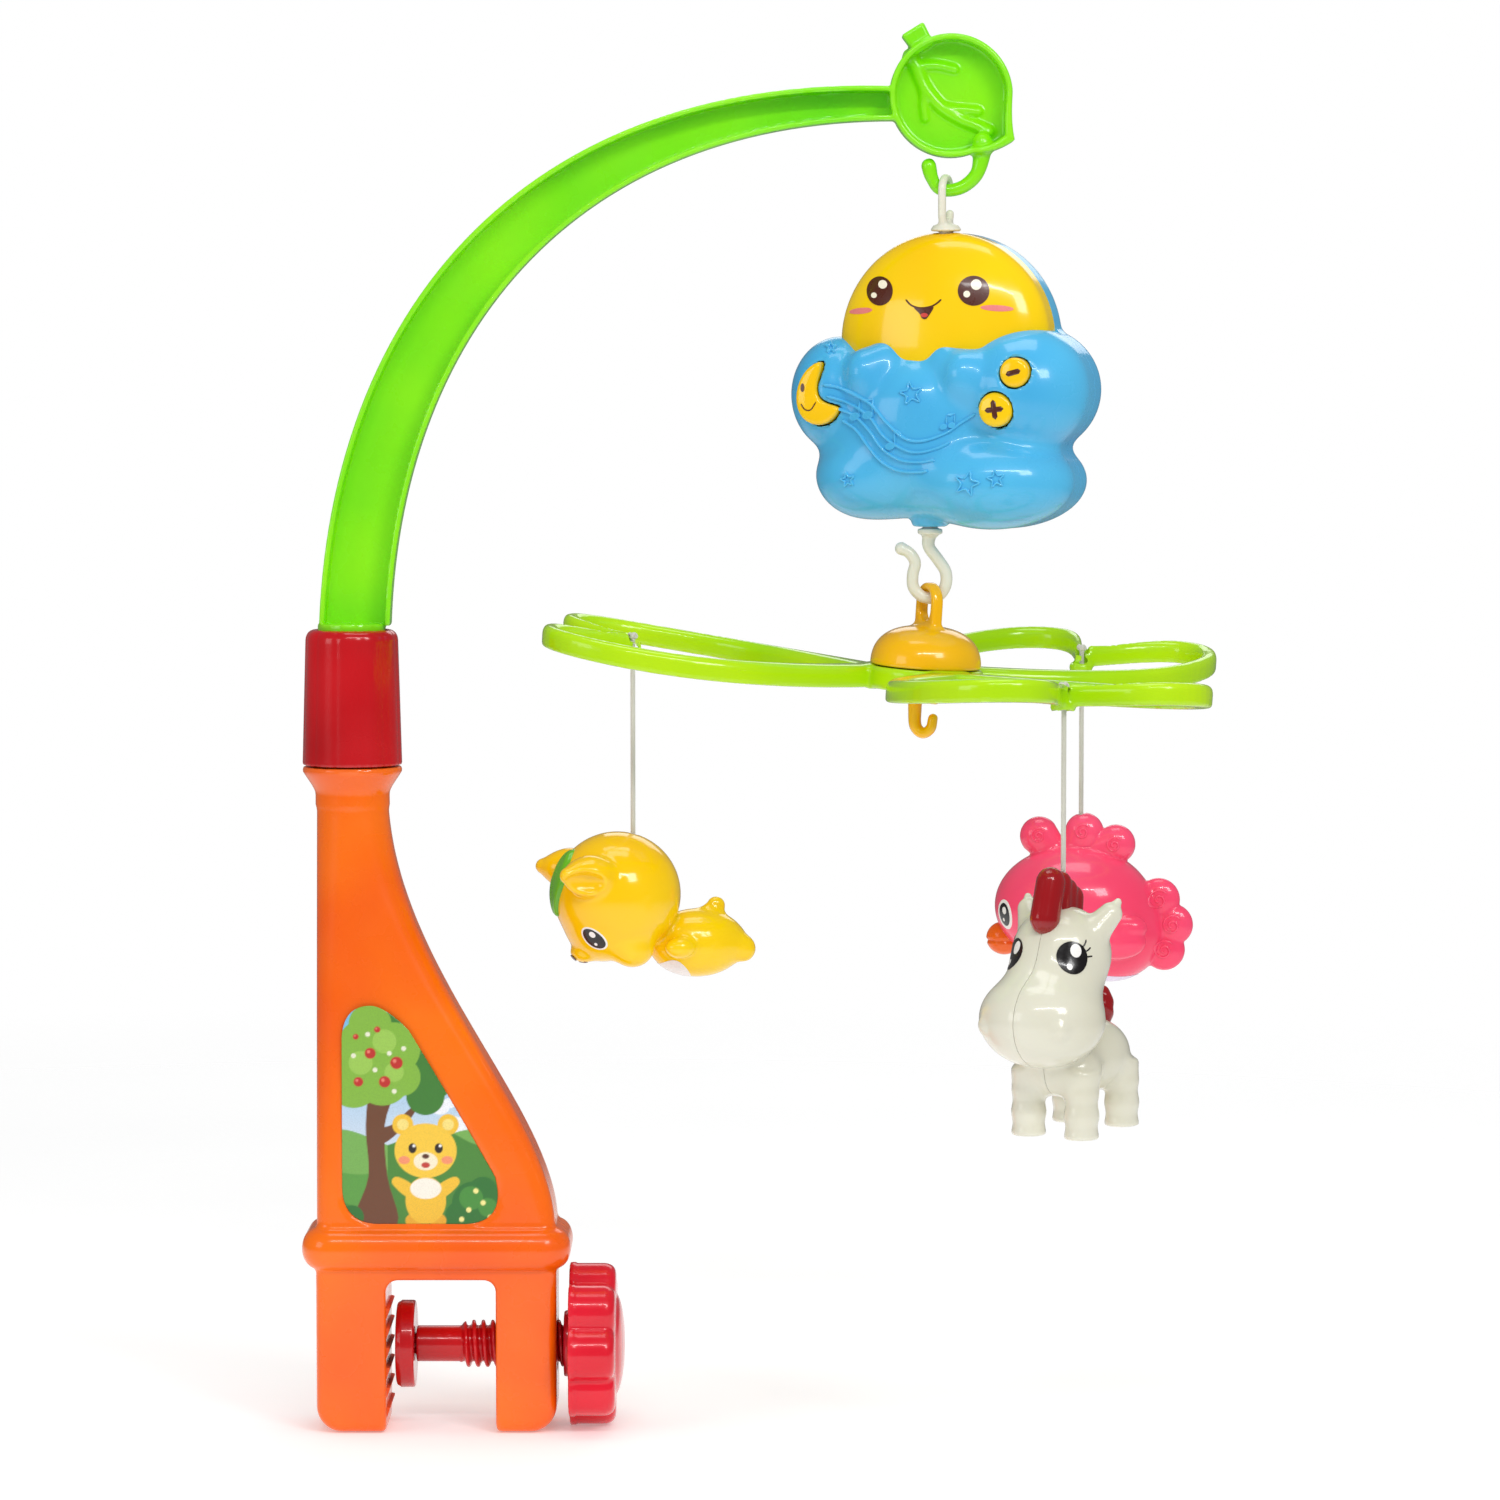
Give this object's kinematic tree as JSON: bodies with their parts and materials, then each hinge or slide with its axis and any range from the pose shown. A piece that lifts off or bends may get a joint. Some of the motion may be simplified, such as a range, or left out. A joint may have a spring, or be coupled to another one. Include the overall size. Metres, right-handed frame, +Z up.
{
  "type": "crib mobile",
  "caption": "Crib rail clamp with a curved hanging arm, a geared music box and a heart-looped carousel that turns hollow animal toys on cords.",
  "frame": {"origin": "middle of the rail seat, the flat underside of the clamp bridge that rests on top of the crib rail", "axes": "+Z up, +X from the upright towards the hanging music box, -Y the front with the picture label"},
  "size_m": [0.3917, 0.3124, 0.5897],
  "materials": {
    "orange_shell": "smooth moulded",
    "red_part": "smooth moulded",
    "lime_arm": "smooth moulded",
    "green_carousel": "smooth moulded",
    "blue_shell": "smooth moulded",
    "yellow_part": "smooth moulded",
    "ivory_part": "smooth moulded",
    "pink_toy": "smooth moulded",
    "orange_beak": "smooth moulded",
    "printed_label": "printed film",
    "black_plastic": "matte",
    "board_green": "solder mask",
    "cord_white": "braided",
    "steel": "zinc plated"
  },
  "bodies": {
    "stand": {"upright_front_shell": "orange_shell", "upright_rear_shell": "orange_shell", "picture_label": "printed_label", "clamp_nut": "ivory_part", "upright_screw_1": "steel", "upright_screw_2": "steel", "upright_screw_3": "steel", "upright_screw_4": "steel", "arm": "lime_arm"},
    "collar": {"collar": "red_part"},
    "clamp_pad": {"pressure_pad": "red_part"},
    "clamp_screw": {"clamp_screw": "red_part", "knob": "red_part"},
    "eye": {"hanging_eye": "ivory_part"},
    "music_box": {"cloud_front_shell": "blue_shell", "sun_face_shell": "yellow_part", "rear_shell": "blue_shell", "shell_screw_1": "steel", "shell_screw_2": "steel", "shell_screw_3": "steel", "shell_screw_4": "steel", "battery_tray": "blue_shell", "battery_1": "black_plastic", "battery_2": "black_plastic", "battery_3": "black_plastic", "upper_contact_strip": "steel", "lower_contact_strip": "steel", "speaker": "black_plastic", "circuit_board": "board_green", "gear_frame_lower": "ivory_part", "gear_frame_upper": "ivory_part", "gear_axle_1": "steel", "gear_axle_2": "steel", "motor": "steel"},
    "moon_button": {"moon_button": "yellow_part"},
    "plus_button": {"plus_button": "yellow_part"},
    "minus_button": {"minus_button": "yellow_part"},
    "battery_door": {"battery_door": "blue_shell", "battery_door_screw": "steel"},
    "motor_pinion": {"motor_pinion": "ivory_part"},
    "first_gear": {"first_gear": "ivory_part"},
    "second_gear": {"second_gear": "ivory_part"},
    "drive_hook": {"drive_hook": "ivory_part", "output_gear": "ivory_part"},
    "carousel": {"carousel_frame": "green_carousel", "hub_dome": "yellow_part", "lower_hook": "yellow_part"},
    "cat_cord": {"cat_cord": "cord_white"},
    "unicorn_cord": {"unicorn_cord": "cord_white"},
    "bird_cord": {"bird_cord": "cord_white"},
    "cat": {"cat_near_half": "yellow_part", "cat_far_half": "yellow_part", "cat_leaf_cap": "green_carousel"},
    "unicorn": {"unicorn_near_half": "ivory_part", "unicorn_far_half": "ivory_part", "unicorn_forelock": "red_part", "unicorn_tail": "red_part"},
    "bird": {"bird_near_half": "pink_toy", "bird_far_half": "pink_toy", "bird_beak": "orange_beak"}
  },
  "joints": [
    {"name": "collar_turn", "type": "hinge", "parent": "stand", "child": "collar", "pos_m": [-0.0372, 0, 0.244], "axis": [0, 0, 1], "range_deg": [-360, 0]},
    {"name": "pad_slide", "type": "slide", "parent": "stand", "child": "clamp_pad", "axis": [1, 0, 0], "range_m": [-0.00201, 0.03301]},
    {"name": "screw_turn", "type": "hinge", "parent": "clamp_pad", "child": "clamp_screw", "pos_m": [0, 0, -0.03], "axis": [1, 0, 0], "range_deg": [-180, 2970]},
    {"name": "eye_swing", "type": "hinge", "parent": "stand", "child": "eye", "pos_m": [0.2115, 0, 0.4556], "axis": [1, 0, 0], "range_deg": [-15, 15]},
    {"name": "box_turn", "type": "hinge", "parent": "eye", "child": "music_box", "pos_m": [0.2115, 0, 0.388], "axis": [0, 0, 1], "continuous": true},
    {"name": "moon_button_press", "type": "slide", "parent": "music_box", "child": "moon_button", "axis": [0.342, 0.9397, 0], "range_m": [0, 0.0015], "stiffness_N_per_m": 150},
    {"name": "plus_button_press", "type": "slide", "parent": "music_box", "child": "plus_button", "axis": [0.342, 0.9397, 0], "range_m": [0, 0.0015], "stiffness_N_per_m": 150},
    {"name": "minus_button_press", "type": "slide", "parent": "music_box", "child": "minus_button", "axis": [0.342, 0.9397, 0], "range_m": [0, 0.0015], "stiffness_N_per_m": 150},
    {"name": "battery_door_lift", "type": "slide", "parent": "music_box", "child": "battery_door", "axis": [0.342, 0.9397, 0], "range_m": [0, 0.02]},
    {"name": "drive_spin", "type": "hinge", "parent": "music_box", "child": "drive_hook", "pos_m": [0.2052, 0, 0.286], "axis": [0, 0, 1], "continuous": true},
    {"name": "second_gear_spin", "type": "hinge", "parent": "music_box", "child": "second_gear", "pos_m": [0.21582, -0.00725, 0.388], "axis": [0, 0, 1], "continuous": true},
    {"name": "first_gear_spin", "type": "hinge", "parent": "music_box", "child": "first_gear", "pos_m": [0.22679, -0.01396, 0.388], "axis": [0, 0, 1], "continuous": true},
    {"name": "motor_spin", "type": "hinge", "parent": "music_box", "child": "motor_pinion", "pos_m": [0.23958, -0.01267, 0.388], "axis": [0, 0, 1], "continuous": true},
    {"name": "carousel_sway", "type": "hinge", "parent": "drive_hook", "child": "carousel", "pos_m": [0.2052, 0, 0.286], "axis": [1, 0, 0], "range_deg": [-10, 10]},
    {"name": "cat_cord_swing", "type": "hinge", "parent": "carousel", "child": "cat_cord", "pos_m": [0.08035, 0.01239, 0.2693], "axis": [0.0944, 0.9955, 0], "range_deg": [-10, 10]},
    {"name": "cat_twist", "type": "hinge", "parent": "cat_cord", "child": "cat", "pos_m": [0.08035, 0.01239, 0.2693], "axis": [0, 0, 1], "range_deg": [-180, 180]},
    {"name": "unicorn_cord_swing", "type": "hinge", "parent": "carousel", "child": "unicorn_cord", "pos_m": [0.25487, -0.11201, 0.25537], "axis": [-0.9101, -0.4144, 0], "range_deg": [-10, 10]},
    {"name": "unicorn_twist", "type": "hinge", "parent": "unicorn_cord", "child": "unicorn", "pos_m": [0.25487, -0.11201, 0.25537], "axis": [0, 0, 1], "range_deg": [-180, 180]},
    {"name": "bird_cord_swing", "type": "hinge", "parent": "carousel", "child": "bird_cord", "pos_m": [0.27542, 0.10174, 0.25971], "axis": [0.8148, -0.5797, 0], "range_deg": [-10, 10]},
    {"name": "bird_twist", "type": "hinge", "parent": "bird_cord", "child": "bird", "pos_m": [0.27542, 0.10174, 0.25971], "axis": [0, 0, 1], "range_deg": [-180, 180]}
  ],
  "couplings": [
    {"joint": "pad_slide", "follows": "screw_turn", "m_per_rad": 0.00063662},
    {"joint": "second_gear_spin", "follows": "drive_spin", "ratio": -3},
    {"joint": "first_gear_spin", "follows": "drive_spin", "ratio": 9},
    {"joint": "motor_spin", "follows": "drive_spin", "ratio": -27}
  ]
}
